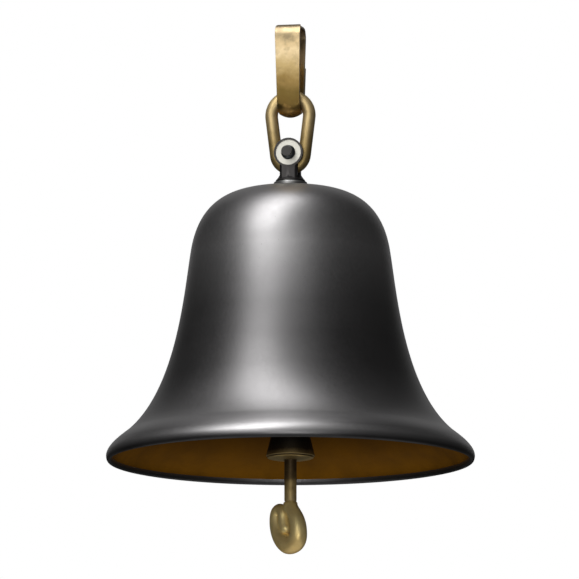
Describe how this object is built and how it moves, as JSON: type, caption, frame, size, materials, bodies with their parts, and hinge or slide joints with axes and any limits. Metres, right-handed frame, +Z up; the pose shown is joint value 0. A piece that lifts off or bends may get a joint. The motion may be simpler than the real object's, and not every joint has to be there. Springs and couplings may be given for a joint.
{
  "type": "wall mounted bell",
  "caption": "Flared hand-rung bell hung by a riveted strap, a link and a crown clevis, with a free clapper and a curled pull hook below the mouth.",
  "frame": {"origin": "middle of the flat seat inside the top of the hanging strap, where the wall hook bears", "axes": "+Z up along the bell's axis, -Y the front that faces away from the wall, +Y towards the wall, +X to the right seen from the front"},
  "size_m": [0.15, 0.15, 0.2183],
  "materials": {
    "gunmetal": "satin black-nickel plated brass, dark",
    "aged_brass": "satin, aged and toned",
    "bright_brass": "satin",
    "blued_steel": "dark blued steel, polished faces",
    "zinc_steel": "dull zinc",
    "dark_iron": "blackened"
  },
  "bodies": {
    "strap": {"hanger_strap": "aged_brass", "strap_rivet_lower": "aged_brass", "strap_rivet_upper": "aged_brass"},
    "link": {"suspension_link": "aged_brass"},
    "bell": {"crown_clevis": "blued_steel", "clevis_pin": "blued_steel", "pin_bush": "bright_brass", "pin_washer": "zinc_steel", "pin_split_pin": "zinc_steel", "crown_washer": "zinc_steel", "bell_shell": "gunmetal", "inner_washer": "zinc_steel", "spring_washer": "zinc_steel", "crown_nut": "zinc_steel", "clapper_eye_nut": "dark_iron"},
    "clapper_ring": {"clapper_link": "dark_iron"},
    "clapper": {"clapper_rod": "aged_brass", "weight_lock_nut": "aged_brass", "clapper_weight": "dark_iron", "weight_retainer_disc": "bright_brass", "pull_hook": "aged_brass"}
  },
  "joints": [
    {"name": "link_rock", "type": "hinge", "parent": "strap", "child": "link", "pos_m": [0, 0, -0.03], "axis": [1, 0, 0], "range_deg": [-22, 22]},
    {"name": "bell_swing", "type": "hinge", "parent": "link", "child": "bell", "pos_m": [0, 0, -0.052], "axis": [0, 1, 0], "range_deg": [-45, 45]},
    {"name": "clapper_swing", "type": "hinge", "parent": "bell", "child": "clapper_ring", "pos_m": [0, 0, -0.0887], "axis": [0, 1, 0], "range_deg": [-31.7, 31.7]},
    {"name": "clapper_tilt", "type": "hinge", "parent": "clapper_ring", "child": "clapper", "pos_m": [0, 0, -0.0962], "axis": [1, 0, 0], "range_deg": [-7, 7]}
  ]
}
